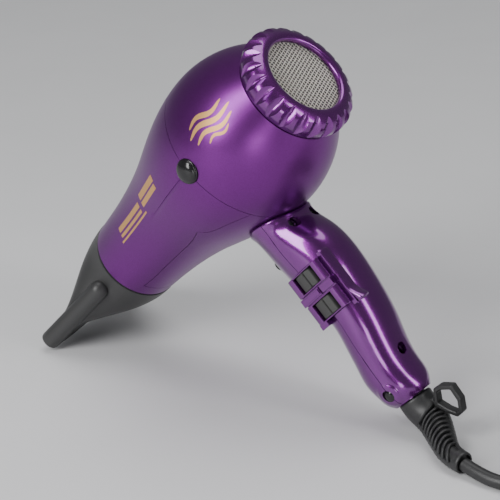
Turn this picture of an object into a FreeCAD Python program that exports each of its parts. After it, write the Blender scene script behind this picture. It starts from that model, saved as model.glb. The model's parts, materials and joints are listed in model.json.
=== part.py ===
import FreeCAD, Part
import math
import os

os.makedirs("parts", exist_ok=True)

# A salon hair dryer with a concentrator nozzle, lying propped on its nozzle lip and cord boot.
# Each piece is drawn in the dryer's own frame, in mm: the barrel's front end is centred on the
# origin, +X runs back along the barrel to the filter, and the handle hangs towards -Z.
# place() then tilts every piece nose-down and stands it on the floor, z = 0.

# ---- stance ----
TILT = 45.9
AXIS_X = -88.8
AXIS_Z = 54.4
NOZZLE_TURN = 9.0

# ---- barrel ----
OUTLET_R = 26.0
WALL = 2.2
SEAM_X = 114.35
BODY_END_X = 161.6
BODY_PROFILE = [(0, OUTLET_R), (20, 27.5), (40, 30), (60, 34), (80, 39.5), (100, 44), (114, 45.5),
                (125, 45.3), (140, 42), (150, 37.5), (BODY_END_X, 29.8)]
LOWER_PARTING = [(8, -19.2), (29, -22.5), (64.5, -24.4), (81, -23.7), (99.6, -30), (SEAM_X, -36)]

# ---- handle ----
HANDLE_SECTIONS = [(-34, 102.8, 18.3, 15.4), (-42, 103.1, 18.8, 15.1), (-50, 104.2, 19.0, 14.9),
                   (-60, 106.7, 20.3, 16.0), (-75, 109.3, 20.7, 16.8), (-90, 110.3, 19.3, 16.2),
                   (-105, 110.0, 17.8, 15.1), (-120, 106.9, 17.6, 14.6), (-130, 104.0, 17.2, 14.1),
                   (-140, 101.8, 16.9, 13.8), (-150, 102.4, 15.8, 13.1), (-155, 102.8, 14.4, 11.9)]
HANDLE_FOOT_Z = -158.0
HANDLE_FOOT = (HANDLE_FOOT_Z, 102.8, 11.4, 10.2)
HANDLE_WALL = 2.3
HANDLE_PARTING = [(-34, 104.5), (-53, 103.5), (-62, 104.4), (-72, 106.0), (-102, 106.4),
                  (-111, 105.4), (-123, 103.8), (-134, 102.6), (-160, 102.3)]
SHOULDER_SCREWS = [("left", -8.4, -51.0), ("right", 8.4, -51.0)]
HEEL_SCREW = (0.0, -135.0)
SCREW_SEAT_X = 114.6
SCREW_HEAD_R = 2.9
SCREW_SHANK_R = 1.4
SCREW_RECESS_R = 3.5

# ---- switches ----
BEZEL_X = (97.0, 125.0)
BEZEL_Z = (-103.5, -71.5)
BEZEL_FACE_Y = -18.8
BEZEL_BACK_Y = -10.0
WINDOW_X = (101.0, 116.0)
WINDOWS = {"speed": (-83.5, -75.0), "heat": (-100.5, -92.0)}
ROCKER_PIVOT = (108.5, -16.2)
ROCKER_GAP = 0.2
PIVOT_R = 1.2
PIVOT_LENGTH = 1.0
FIT = 0.05
SHOT_Z = -61.0
SHOT_R = 3.3
SHOT_TRAVEL = 2.0

# ---- nozzle ----
NOZZLE_WALL = 1.8
SPIGOT_R = 23.6
SPIGOT_LENGTH = 9.0
LIP_X = -64.0
NOZZLE_SECTIONS = [(-0.4, 26.2, 26.2, 2.0), (-10, 26.8, 25.4, 2.0), (-22, 30.3, 21.4, 2.2),
                   (-32, 33.7, 15.4, 2.4), (-42, 36.8, 8.8, 3.0), (-52, 39.3, 6.4, 3.8),
                   (LIP_X, 41.5, 5.9, 4.5)]
MOUTH_HALF_HEIGHT = 4.4
LOBE_R = 6.1

# ---- filter ----
RING_FRONT_X = 162.0
RING_BACK_X = 176.2
MESH_R = 21.2
FLUTES = 24
BASKET_R = 27.2

# ---- motor and fan ----
MOTOR_R = 19.5
MOTOR_X = (98.0, 130.0)
SHAFT_R = 1.6
FAN_X = (132.0, 146.0)
FAN_R = 33.6
FAN_BLADES = 7
DUCT_R = 34.2

# ---- cord ----
CORD_R = 3.5
ROUTE = [(140.2, -24.6, 5.2), (152.4, -27.4, CORD_R), (166.6, -26.6, CORD_R),
         (184.0, -21.2, CORD_R), (203.2, -19.5, CORD_R)]
COIL_CENTRE = (203.2, 26.5)
COIL_RADII = [32.0, 39.0, 46.0]
COIL_LAYERS = 4
PLUG_HALF_HEIGHT = 12.0
PIN_R = 2.4
PIN_LENGTH = 19.0
PIN_PITCH = 19.0
PLUG_ENTRY = (-19.0, 59.0)
TAIL = [(-15.7, -43.2, 24.5), (-1.6, -47.2, 24.3), (13.0, -48.5, 23.4), (27.7, -44.3, 21.4),
        (40.0, -35.4, 18.4), (48.8, -21.7, 14.8), (53.0, -6.0, 11.0), (52.4, 10.2, 7.2),
        (47.3, 25.2, 4.4), (37.5, 38.8, CORD_R), (24.5, 48.1, CORD_R), (9.5, 55.5, 5.5),
        (-6.0, 58.5, 9.0), (*PLUG_ENTRY, PLUG_HALF_HEIGHT)]


def vec(x, y, z):
    return FreeCAD.Vector(x, y, z)


def place(shape):
    """Tilt a piece nose-down and stand it on the floor."""
    placed = shape.copy()
    placed.rotate(vec(0, 0, 0), vec(0, 1, 0), -TILT)
    placed.translate(vec(AXIS_X, 0, AXIS_Z))
    return placed


def box(x, y, z):
    """A box between pairs of limits."""
    return Part.makeBox(x[1] - x[0], y[1] - y[0], z[1] - z[0], vec(x[0], y[0], z[0]))


def rod(radius, start, end):
    """A cylinder from one point to another."""
    direction = vec(*end) - vec(*start)
    return Part.makeCylinder(radius, direction.Length, vec(*start), direction)


def disc(radius, x0, x1):
    """A cylinder on the barrel's axis."""
    return rod(radius, (x0, 0, 0), (x1, 0, 0))


def tube(outer, inner, x0, x1):
    return disc(outer, x0, x1).cut(disc(inner, x0 - 1, x1 + 1))


def turned(outline):
    """Revolve a closed outline of (x, radius) points about the barrel's axis."""
    points = [vec(x, 0, r) for x, r in outline]
    face = Part.Face(Part.makePolygon(points + points[:1]))
    return face.revolve(vec(0, 0, 0), vec(1, 0, 0), 360)


def turned_spline(profile, inset=0.0):
    """The solid under a smooth (x, radius) profile, made smaller by inset."""
    curve = Part.BSplineCurve()
    curve.interpolate([vec(x, 0, r - inset) for x, r in profile])
    x0, r0 = profile[0]
    x1, r1 = profile[-1]
    sides = Part.makePolygon([vec(x1, 0, r1 - inset), vec(x1, 0, 0), vec(x0, 0, 0),
                              vec(x0, 0, r0 - inset)])
    face = Part.Face(Part.Wire([curve.toShape()] + sides.Edges))
    return face.revolve(vec(0, 0, 0), vec(1, 0, 0), 360)


def closed_curve(points):
    curve = Part.BSplineCurve()
    curve.interpolate(points, True)
    return Part.Wire([curve.toShape()])


def loft(wires):
    return Part.makeLoft(wires, True, False)


def prism(outline, half_width):
    """Extrude a closed (x, z) outline to both sides of the middle plane."""
    points = [vec(x, -half_width, z) for x, z in outline]
    face = Part.Face(Part.makePolygon(points + points[:1]))
    return face.extrude(vec(0, 2 * half_width, 0))


# ---- barrel ----

def body_hollow():
    return turned_spline(BODY_PROFILE).cut(turned_spline(BODY_PROFILE, WALL))


def lower_region():
    """The space below the parting line between the upper and the lower barrel."""
    front = LOWER_PARTING[0][0]
    back = LOWER_PARTING[-1][0]
    return prism(LOWER_PARTING + [(back, -60), (front, -60)], 60)


def lead_hole():
    """The way for the leads from the handle up into the barrel."""
    return rod(8, (101, 0, -54), (101, 0, -34))


def front_shell():
    half = body_hollow().common(box((-1, SEAM_X - 0.05), (-60, 60), (-60, 60)))
    return half.cut(lower_region()).cut(cap_seats())


def barrel_lower():
    half = body_hollow().common(box((-1, SEAM_X - 0.05), (-60, 60), (-60, 60)))
    return half.common(lower_region()).cut(lead_hole())


def rear_shell():
    half = body_hollow().common(box((SEAM_X + 0.05, BODY_END_X + 1), (-60, 60), (-60, 60)))
    return half.cut(cap_seats())


def cap_seats():
    left = rod(6.6, (SEAM_X, -43.6, -1.5), (SEAM_X, -50, -1.5))
    right = rod(6.6, (SEAM_X, 43.6, -1.5), (SEAM_X, 50, -1.5))
    return left.fuse(right)


def side_cap(side):
    """A domed button over the shell seam, seated in a shallow round pocket."""
    y = side * 43.6
    base = rod(6.6, (SEAM_X, y, -1.5), (SEAM_X, side * 46.4, -1.5))
    ball = Part.makeSphere(14, vec(SEAM_X, side * 33.8, -1.5))
    reach = rod(6.6, (SEAM_X, side * 46.4, -1.5), (SEAM_X, side * 49, -1.5))
    return base.fuse(ball.common(reach)).removeSplitter()


# ---- filter ----

def flute_cutters():
    """Leaf-shaped hollows between the crests of the ring."""
    cutters = []
    for index in range(FLUTES):
        angle = 360.0 * index / FLUTES
        cutter = rod(2.2, (160, 0, 33.2), (178, 0, 31.0))
        cutter.rotate(vec(0, 0, 0), vec(1, 0, 0), angle)
        cutters.append(cutter)
    return cutters


def filter_ring():
    lip_x = 172.8
    outline = [(RING_FRONT_X, 28.5), (RING_FRONT_X, 29.4), (163, 30.5), (166, 31.4), (170, 31.6),
               (173, 30.0), (175.2, 27.0), (RING_BACK_X, 23.8), (RING_BACK_X - 0.4, MESH_R + 0.4),
               (175, MESH_R), (lip_x, MESH_R), (lip_x, 28.5)]
    return turned(outline).cut(Part.makeCompound(flute_cutters()))


def filter_mesh():
    return disc(24.5, 171.9, 172.7)


def filter_foam():
    return disc(24.8, 168.6, 171.6)


def filter_basket():
    """Slotted sleeve that slides into the rear shell and carries the ring on three lugs."""
    sleeve = tube(BASKET_R, BASKET_R - 1.3, 150, 168)
    bridge = tube(BASKET_R, 8, 150, 151.4)
    hub = disc(8, 150, 151.4)
    slots = []
    for index in range(12):
        slot = box((153, 161), (-2.2, 2.2), (20, 30))
        slot.rotate(vec(0, 0, 0), vec(1, 0, 0), 30 * index)
        slots.append(slot)
        window = box((149, 153), (-2.6, 2.6), (11, 24))
        window.rotate(vec(0, 0, 0), vec(1, 0, 0), 30 * index)
        slots.append(window)
    lugs = []
    for index in range(3):
        lug = box((165, 167), (-3, 3), (BASKET_R - 0.8, 28.0))
        lug.rotate(vec(0, 0, 0), vec(1, 0, 0), 120 * index)
        lugs.append(lug)
    basket = sleeve.fuse([bridge, hub] + lugs)
    return basket.cut(Part.makeCompound(slots))


# ---- motor, fan and heater ----

def motor_can():
    return tube(MOTOR_R, MOTOR_R - 1.5, MOTOR_X[0], MOTOR_X[1] - 4).fuse(
        tube(MOTOR_R, 3.4, MOTOR_X[0], MOTOR_X[0] + 2))


def motor_end_cap():
    cap = tube(MOTOR_R, 3.4, MOTOR_X[1] - 4, MOTOR_X[1])
    return cap.cut(tube(MOTOR_R - 3, 6, MOTOR_X[1] - 1.5, MOTOR_X[1] + 1))


def motor_bearing(x):
    """Sintered bush that carries the shaft in one end of the motor."""
    return tube(3.4, SHAFT_R + FIT, x, x + 2)


def motor_armature():
    return tube(MOTOR_R - 3.2, SHAFT_R, MOTOR_X[0] + 6, MOTOR_X[1] - 8)


def motor_shaft():
    return disc(SHAFT_R, MOTOR_X[0] - 2, FAN_X[1] - 1)


def fan_impeller():
    hub = tube(11, SHAFT_R, FAN_X[0], FAN_X[1])
    blades = []
    for index in range(FAN_BLADES):
        root = [vec(133, -3.6, 9), vec(134.2, -4.2, 9), vec(145, 3.6, 9), vec(143.8, 4.2, 9)]
        tip = [vec(135, -8.6, FAN_R - 1.4), vec(136, -9.4, FAN_R - 1.4),
               vec(143, 7.2, FAN_R - 1.4), vec(142, 8.0, FAN_R - 1.4)]
        wires = [Part.makePolygon(corners + corners[:1]) for corners in (root, tip)]
        blade = Part.makeLoft(wires, True, True)
        blade.rotate(vec(0, 0, 0), vec(1, 0, 0), 360.0 * index / FAN_BLADES)
        blades.append(blade)
    return hub.fuse(blades)


def motor_mount():
    """Duct ring around the fan with stator vanes that hold the motor."""
    duct = tube(DUCT_R + 1.4, DUCT_R, MOTOR_X[0] + 10, FAN_X[1])
    collar = tube(MOTOR_R + 1.4, MOTOR_R, MOTOR_X[0] + 10, MOTOR_X[1])
    vanes = []
    for index in range(9):
        vane = box((MOTOR_X[0] + 10, MOTOR_X[1]), (-0.8, 0.8), (MOTOR_R + 0.6, DUCT_R + 0.7))
        vane.rotate(vec(0, 0, 0), vec(1, 0, 0), 40 * index + 20)
        vanes.append(vane)
    flange = tube(43.0, DUCT_R + 0.7, 112.5, 114)
    return duct.fuse([collar, flange] + vanes)


HEATER_X = (20.0, 86.0)
MICA_R = 22.6
COIL_ROWS = [28.0, 38.0, 48.0, 58.0, 68.0, 78.0]


def mica_tube():
    return tube(MICA_R + 0.6, MICA_R, HEATER_X[0] - 2, HEATER_X[1] + 2)


def heater_coil(radius, wire):
    """Rings of resistance coil joined into one run by short jumpers."""
    rings = []
    for x in COIL_ROWS:
        ring = Part.makeTorus(radius, wire, vec(x, 0, 0), vec(1, 0, 0))
        rings.append(ring)
    side = radius * math.sin(math.radians(45))
    jumper = rod(wire * 0.5, (COIL_ROWS[0], side, side), (COIL_ROWS[-1], side, side))
    return rings[0].fuse(rings[1:] + [jumper])


def coil_notches(clearance):
    notches = []
    for radius, wire in ((18.0, 1.4), (10.5, 1.2)):
        for x in COIL_ROWS:
            notches.append(Part.makeTorus(radius, wire + clearance, vec(x, 0, 0), vec(1, 0, 0)))
    return Part.makeCompound(notches)


def mica_board(upright):
    """One of the two crossed boards; each is slotted halfway to take the other."""
    half = 0.4
    middle = (HEATER_X[0] + HEATER_X[1]) / 2
    reach = MICA_R - 0.3
    if upright:
        board = box(HEATER_X, (-half, half), (-reach, reach))
        slot = box((HEATER_X[0] - 1, middle), (-2, 2), (-half - FIT, half + FIT))
    else:
        board = box(HEATER_X, (-reach, reach), (-half, half))
        slot = box((middle, HEATER_X[1] + 1), (-half - FIT, half + FIT), (-2, 2))
    return board.cut(slot).cut(coil_notches(FIT))


def thermostat():
    back = HEATER_X[1] + 4
    body = rod(4.2, (HEATER_X[1], 0, 9), (back, 0, 9))
    return body.fuse(box((back, back + 3), (-1, 1), (6, 12)))


def thermal_fuse():
    return rod(1.6, (HEATER_X[1] + 1.6, 0, -14), (HEATER_X[1] + 1.6, 0, -4))


def ion_emitter():
    return rod(1.3, (-2, 0, 16.5), (HEATER_X[0], 0, 16.5))


def outlet_grille():
    """Guard in the outlet, with the spigot that the nozzle turns on."""
    spigot = tube(SPIGOT_R, SPIGOT_R - 2, -SPIGOT_LENGTH, 14)
    rings = [Part.makeTorus(radius, 0.8, vec(1, 0, 0), vec(1, 0, 0)) for radius in (7, 13)]
    spokes = []
    for index in range(3):
        spoke = rod(0.8, (1, 0, -22), (1, 0, 22))
        spoke.rotate(vec(0, 0, 0), vec(1, 0, 0), 60 * index + 30)
        spokes.append(spoke)
    return spigot.fuse(rings + spokes)


# ---- nozzle ----

def rounded_section(x, half_width, half_height, power):
    """A closed curve between an ellipse (power 2) and a rounded slot (larger power)."""
    points = []
    for index in range(32):
        angle = 2 * math.pi * index / 32
        across = math.cos(angle)
        up = math.sin(angle)
        y = half_width * math.copysign(abs(across) ** (2 / power), across)
        z = half_height * math.copysign(abs(up) ** (2 / power), up)
        points.append(vec(x, y, z))
    return closed_curve(points)


def nozzle():
    outer = loft([rounded_section(*section) for section in NOZZLE_SECTIONS])
    inner = loft([rounded_section(x, y - NOZZLE_WALL, z - NOZZLE_WALL, power)
                  for x, y, z, power in NOZZLE_SECTIONS[1:-1]]
                 + [rounded_section(LIP_X - 1, 41.5 - NOZZLE_WALL, MOUTH_HALF_HEIGHT, 4.5)])
    collar = disc(SPIGOT_R + FIT, 1, -SPIGOT_LENGTH - 1.2)
    shape = outer
    for side in (-1, 1):
        tip = (LIP_X, side * 39.0, 0)
        root = (-14, side * 28.0, 0)
        shape = shape.fuse(rod(LOBE_R, tip, root)).fuse(Part.makeSphere(LOBE_R, vec(*root)))
    front = box((LIP_X, 5), (-60, 60), (-40, 40))
    shape = shape.common(front).cut(inner).cut(collar)
    shape.rotate(vec(0, 0, 0), vec(1, 0, 0), NOZZLE_TURN)
    return shape


# ---- handle ----

def ellipse(z, x, half_depth, half_width):
    points = []
    for index in range(24):
        angle = 2 * math.pi * index / 24
        points.append(vec(x + half_depth * math.cos(angle), half_width * math.sin(angle), z))
    return closed_curve(points)


def handle_solid():
    return loft([ellipse(*section) for section in HANDLE_SECTIONS + [HANDLE_FOOT]])


def handle_cavity():
    sections = [ellipse(z, x, a - HANDLE_WALL, b - HANDLE_WALL) for z, x, a, b in HANDLE_SECTIONS]
    return loft(sections)


def screw_boss(y, z, x0, x1, radius):
    return rod(radius, (x0, y, z), (x1, y, z))


def screw_places():
    return [(y, z) for _, y, z in SHOULDER_SCREWS] + [HEEL_SCREW]


def front_of_parting():
    outline = [(x, z) for z, x in HANDLE_PARTING] + [(60, -160), (60, -34)]
    return prism(outline, 40)


def bezel_block():
    block = box(BEZEL_X, (BEZEL_FACE_Y, BEZEL_BACK_Y), BEZEL_Z)
    upright = [edge for edge in block.Edges if abs(edge.tangentAt(edge.FirstParameter).y) > 0.9]
    return block.makeFillet(2.5, upright)


def handle_half(front):
    solid = handle_solid().cut(turned_spline(BODY_PROFILE))
    shell = solid.cut(handle_cavity())
    for y, z in screw_places():
        boss = screw_boss(y, z, 84, 128, 4.6).common(solid)
        shell = shell.fuse(boss)
    region = front_of_parting()
    half = shell.common(region) if front else shell.cut(region)
    for y, z in screw_places():
        half = half.cut(rod(SCREW_SHANK_R, (90, y, z), (128, y, z)))
        if not front:
            half = half.cut(rod(SCREW_RECESS_R, (SCREW_SEAT_X, y, z), (128, y, z)))
    half = half.cut(bezel_block())
    half = half.cut(rod(BOOT_NECK_R, (BOOT_TOP_X, 0, -160), (BOOT_TOP_X, 0, -146)))
    for side in (-1, 1):
        half = half.cut(rod(3.2, (101.5, side * 10.6, -150.5), (101.5, side * 16, -150.5)))
    if front:
        half = half.cut(rod(SHOT_R + 0.2, (80, 0, SHOT_Z), (95, 0, SHOT_Z)))
    return half


def handle_screw(y, z):
    top = SCREW_SEAT_X + 2.0
    head = rod(SCREW_HEAD_R, (SCREW_SEAT_X, y, z), (top, y, z))
    slot = box((top - 0.6, top + 1), (y - 2.2, y + 2.2), (z - 0.4, z + 0.4))
    return head.fuse(rod(SCREW_SHANK_R, (97, y, z), (SCREW_SEAT_X, y, z))).cut(slot)


def side_screw(side):
    """Domed screw head near the foot of the handle."""
    base = rod(3.2, (101.5, side * 10.6, -150.5), (101.5, side * 13.4, -150.5))
    ball = Part.makeSphere(5.2, vec(101.5, side * 9.2, -150.5))
    reach = rod(3.2, (101.5, side * 13.4, -150.5), (101.5, side * 16, -150.5))
    return base.fuse(ball.common(reach)).removeSplitter()


# ---- switches ----

def switch_bezel():
    bezel = bezel_block()
    for low, high in WINDOWS.values():
        bezel = bezel.cut(box(WINDOW_X, (-25, 0), (low, high)))
        reach = PIVOT_LENGTH + 0.3
        bezel = bezel.cut(rod(PIVOT_R + FIT, (*ROCKER_PIVOT, low - reach), (*ROCKER_PIVOT, high + reach)))
    rib_x = BEZEL_X[1] + 0.8
    rib_y = BEZEL_FACE_Y + 4.4
    return bezel.fuse(rod(1.2, (rib_x, rib_y, BEZEL_Z[0]), (rib_x, rib_y, BEZEL_Z[1])))


def rocker(window):
    """A rocker cap on two stub pivots; its tips swing inside the window."""
    low, high = WINDOWS[window]
    px, py = ROCKER_PIVOT
    outline = [(-7.0, -2.3), (0, -1.5), (7.0, -2.3), (7.3, 0), (5.4, 4.6), (-5.4, 4.6), (-7.3, 0)]
    points = [vec(px + x, py + y, low + ROCKER_GAP) for x, y in outline]
    face = Part.Face(Part.makePolygon(points + points[:1]))
    cap = face.extrude(vec(0, 0, high - low - 2 * ROCKER_GAP))
    pivot = rod(PIVOT_R, (px, py, low - PIVOT_LENGTH), (px, py, high + PIVOT_LENGTH))
    return cap.fuse(pivot)


def switch_body(window):
    low, high = WINDOWS[window]
    body = box((101.5, 115.5), (BEZEL_BACK_Y, 3.5), (low, high))
    tabs = []
    for x in (104, 108.5, 113):
        tabs.append(box((x - 0.4, x + 0.4), (3.5, 8), (low + 2, high - 2)))
    return body.fuse(tabs)


def cold_shot_button():
    cap = rod(SHOT_R, (84.4, 0, SHOT_Z), (90.2, 0, SHOT_Z))
    dome = Part.makeSphere(6.6, vec(89.4, 0, SHOT_Z)).common(rod(SHOT_R, (80, 0, SHOT_Z), (84.4, 0, SHOT_Z)))
    flange = rod(4.1, (90.2, 0, SHOT_Z), (91.2, 0, SHOT_Z))
    stem = rod(1.2, (91.2, 0, SHOT_Z), (92.4, 0, SHOT_Z))
    return cap.fuse([dome, flange, stem])


def cold_shot_spring():
    return rod(2.6, (91.3, 0, SHOT_Z), (94.9, 0, SHOT_Z)).cut(rod(1.9, (90, 0, SHOT_Z), (96, 0, SHOT_Z)))


def cold_shot_switch():
    body = box((95, 102), (-5, 5), (SHOT_Z - 4, SHOT_Z + 4))
    return body.fuse(rod(1.2, (94.5, 0, SHOT_Z), (95, 0, SHOT_Z)))


# ---- leads, boot and loop ----

def ion_module():
    return box((97, 112), (-6, 6), (-127, -110))


def cord_clamp():
    bar = box((96.5, 109.5), (-5, 5), (-145.5, -142))
    return bar.cut(rod(CORD_R, (103, 0, -150), (103, 0, -140)))


def bent_rod(radius, points):
    """A lead through several points, with a ball at each bend."""
    runs = [rod(radius, a, b) for a, b in zip(points, points[1:])]
    balls = [Part.makeSphere(radius, vec(*point)) for point in points[1:-1]]
    return runs[0].fuse(runs[1:] + balls)


def supply_lead():
    core = rod(CORD_R, (103, 0, -146), (103, 0, -140.8))
    lead = bent_rod(1.1, [(103, 0, -141.6), (102.4, 7.0, -140.2), (100.5, 8.4, -134),
                          (101, 8.4, -108), (106.2, 5.8, -101.8), (106.2, 5.4, -96)])
    return core.fuse(lead)


def heater_lead():
    return bent_rod(1.1, [(106.2, 5.4, -79), (106.2, 5.4, -73), (106, 0, -66), (105, 0, -46),
                          (99, 2, -36), (92, 5, -12)])


BOOT_TOP_X = 103.0
BOOT_TOP_R = 9.3
BOOT_NECK_R = 6.5
# The boot bends down to the floor and along it; these stations are in the standing frame.
BOOT_STATIONS = [((101.2, -0.4, 13.8), 9.3), ((107.8, -1.9, 10.6), 8.9),
                 ((115.3, -7.4, 8.4), 8.0), ((122.4, -14.4, 7.2), 7.0),
                 ((130.7, -21.2, 6.1), 6.0), ((140.2, -24.6, 5.8), 5.6)]


def standing_point(x, y, z):
    """Where a point of the dryer's own frame comes to stand."""
    return place(Part.Vertex(x, y, z)).Point


def boot_rings():
    """The boot's cross-sections, each square to the way the boot runs there."""
    tilt = math.radians(TILT)
    centres = [standing_point(BOOT_TOP_X, 0, HANDLE_FOOT_Z)]
    centres += [vec(*centre) for centre, _ in BOOT_STATIONS]
    radii = [BOOT_TOP_R] + [radius for _, radius in BOOT_STATIONS]
    rings = []
    for index, centre in enumerate(centres):
        axis = vec(math.sin(tilt), 0, -math.cos(tilt))
        if index > 0:
            after = min(index + 1, len(centres) - 1)
            axis = centres[after] - centres[index - 1]
        circle = Part.Circle(centre, axis, radii[index])
        rings.append(Part.Wire([circle.toShape()]))
    return rings


def cord_boot():
    """Strain relief: a flange and neck inside the handle, and a tapered sleeve that bends."""
    top = (BOOT_TOP_X, 0, HANDLE_FOOT_Z - 1.0)
    neck = rod(BOOT_NECK_R, top, (BOOT_TOP_X, 0, -149))
    flange = rod(8.2, (BOOT_TOP_X, 0, -149.5), (BOOT_TOP_X, 0, -147))
    return loft(boot_rings()).fuse(place(neck.fuse(flange)))


def hanging_loop():
    """Flat eight-sided ring on a short neck from the boot."""
    outer = [(118.1, -160.8), (122.6, -161.0), (129.0, -164.8), (128.4, -173.1), (124.3, -179.0),
             (119.8, -179.4), (115.6, -174.4), (112.2, -168.5)]
    inner = [(118.5, -163.4), (121.8, -163.6), (126.6, -166.2), (126.1, -172.6), (123.2, -176.6),
             (120.8, -176.8), (117.9, -173.2), (115.2, -168.0)]
    ring = prism(outer, 2.6).cut(prism(inner, 4))
    neck = prism([(105, -160.5), (114, -164.5), (113.5, -171.5), (106, -166)], 2.2)
    return ring.fuse(neck)


# ---- cord, coil and plug, in the standing frame ----

def cord_pipe(points, label):
    """Straight runs joined by tangent arcs, each as large as its two runs allow."""
    nodes = [vec(*point) for point in points]
    edges = []
    start = nodes[0]
    radii = []
    for before, here, after in zip(nodes, nodes[1:], nodes[2:]):
        arriving = (here - before).normalize()
        leaving = (after - here).normalize()
        turn = arriving.getAngle(leaving)
        reach = 0.45 * min((here - before).Length, (after - here).Length)
        radius = reach / math.tan(turn / 2)
        radii.append(round(radius, 1))
        first = here - arriving * reach
        last = here + leaving * reach
        inward = (leaving - arriving).normalize()
        middle = here + inward * (radius / math.cos(turn / 2) - radius)
        edges.append(Part.LineSegment(start, first).toShape())
        edges.append(Part.Arc(first, middle, last).toShape())
        start = last
    edges.append(Part.LineSegment(start, nodes[-1]).toShape())
    path = Part.Wire(edges)
    circle = Part.Circle(nodes[0], nodes[1] - nodes[0], CORD_R).toShape()
    solid = path.makePipeShell([Part.Wire([circle])], True, False)
    expected = path.Length * math.pi * CORD_R ** 2
    print(label, "length", round(path.Length, 1), "radii", radii,
          "volume ratio", round(solid.Volume / expected, 4))
    return solid


def cord_tube():
    return cord_pipe(ROUTE, "cord_tube")


def cord_coil():
    """The outer shape of the wound length, turns beside and on each other."""
    x, y = COIL_CENTRE
    height = 2 * CORD_R * COIL_LAYERS
    outer = Part.makeCylinder(COIL_RADII[-1] + CORD_R, height, vec(x, y, 0))
    inner = Part.makeCylinder(COIL_RADII[0] - CORD_R, height, vec(x, y, 0))
    return outer.cut(inner)


def beside_coil(point):
    return (COIL_CENTRE[0] + point[0], COIL_CENTRE[1] + point[1], point[2])


def cord_tail():
    return cord_pipe([beside_coil(point) for point in TAIL], "cord_tail")


def plug_point(along, aside=0.0, rise=0.0):
    """A point on the plug, measured from where the cord enters it towards its pins."""
    x, y, z = beside_coil((*PLUG_ENTRY, PLUG_HALF_HEIGHT))
    return vec(x - along, y + aside, z + rise)


PLUG_SECTIONS = [(14, 8.0, 7.5), (20, 13.0, 10.5), (30, 16.5, 11.8), (40, 17.5, 12.0),
                 (46, 17.5, 12.0)]


def plug_section(along, half_width, half_height):
    points = []
    for index in range(24):
        angle = 2 * math.pi * index / 24
        across = math.copysign(abs(math.cos(angle)) ** 0.7, math.cos(angle))
        up = math.copysign(abs(math.sin(angle)) ** 0.7, math.sin(angle))
        points.append(plug_point(along, half_width * across, half_height * up))
    return closed_curve(points)


def plug_body():
    boot = Part.makeCone(5.0, 7.0, 16, plug_point(0), vec(-1, 0, 0))
    return loft([plug_section(*section) for section in PLUG_SECTIONS]).fuse(boot)


def plug_pin(side):
    base = plug_point(PLUG_SECTIONS[-1][0], side * PIN_PITCH / 2)
    shank = Part.makeCylinder(PIN_R, PIN_LENGTH - 1.0, base, vec(-1, 0, 0))
    tip = Part.makeCone(PIN_R, PIN_R - 0.8, 1.0, base + vec(1.0 - PIN_LENGTH, 0, 0), vec(-1, 0, 0))
    return shank.fuse(tip)


def dryer_pieces():
    """Every piece drawn in the dryer's own frame."""
    pieces = {
        "front_shell": front_shell(),
        "barrel_lower": barrel_lower(),
        "rear_shell": rear_shell(),
        "side_cap_left": side_cap(-1),
        "side_cap_right": side_cap(1),
        "filter_ring": filter_ring(),
        "filter_mesh": filter_mesh(),
        "filter_foam": filter_foam(),
        "filter_basket": filter_basket(),
        "fan_impeller": fan_impeller(),
        "motor_shaft": motor_shaft(),
        "motor_armature": motor_armature(),
        "motor_can": motor_can(),
        "motor_end_cap": motor_end_cap(),
        "motor_bearing_front": motor_bearing(MOTOR_X[0]),
        "motor_bearing_rear": motor_bearing(MOTOR_X[1] - 2),
        "motor_mount": motor_mount(),
        "mica_tube": mica_tube(),
        "mica_board_upright": mica_board(True),
        "mica_board_level": mica_board(False),
        "heater_coil_outer": heater_coil(18.0, 1.4),
        "heater_coil_inner": heater_coil(10.5, 1.2),
        "thermostat": thermostat(),
        "thermal_fuse": thermal_fuse(),
        "ion_emitter": ion_emitter(),
        "ion_module": ion_module(),
        "outlet_grille": outlet_grille(),
        "nozzle": nozzle(),
        "handle_front": handle_half(True),
        "handle_rear": handle_half(False),
        "handle_screw_heel": handle_screw(*HEEL_SCREW),
        "side_screw_left": side_screw(-1),
        "side_screw_right": side_screw(1),
        "switch_bezel": switch_bezel(),
        "cold_shot_button": cold_shot_button(),
        "cold_shot_spring": cold_shot_spring(),
        "cold_shot_switch": cold_shot_switch(),
        "cord_clamp": cord_clamp(),
        "supply_lead": supply_lead(),
        "heater_lead": heater_lead(),
        "hanging_loop": hanging_loop(),
    }
    for side, y, z in SHOULDER_SCREWS:
        pieces["handle_screw_" + side] = handle_screw(y, z)
    for window in WINDOWS:
        pieces[window + "_rocker"] = rocker(window)
        pieces[window + "_switch"] = switch_body(window)
    return pieces


def standing_pieces():
    """Every piece drawn where the dryer stands."""
    return {
        "cord_boot": cord_boot(),
        "cord_tube": cord_tube(),
        "cord_coil": cord_coil(),
        "cord_tail": cord_tail(),
        "plug_body": plug_body(),
        "plug_pin_left": plug_pin(-1),
        "plug_pin_right": plug_pin(1),
    }


CORD_NODES = ["cord_tube", "cord_coil", "cord_tail", "plug_body", "plug_pin_left", "plug_pin_right"]


def main():
    shapes = {name: place(shape) for name, shape in dryer_pieces().items()}
    shapes.update(standing_pieces())
    limits = FreeCAD.BoundBox()
    for name, shape in shapes.items():
        shape.exportStep("parts/" + name + ".step")
        if name not in CORD_NODES:
            limits.add(shape.BoundBox)
        if not shape.isValid() or len(shape.Solids) != 1:
            print("look at", name, shape.isValid(), len(shape.Solids))
    print(len(shapes), "pieces; dryer spans", limits)


main()
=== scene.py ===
import json
import math

import bpy
import bmesh
import numpy as np
from mathutils import Matrix, Vector


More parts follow.
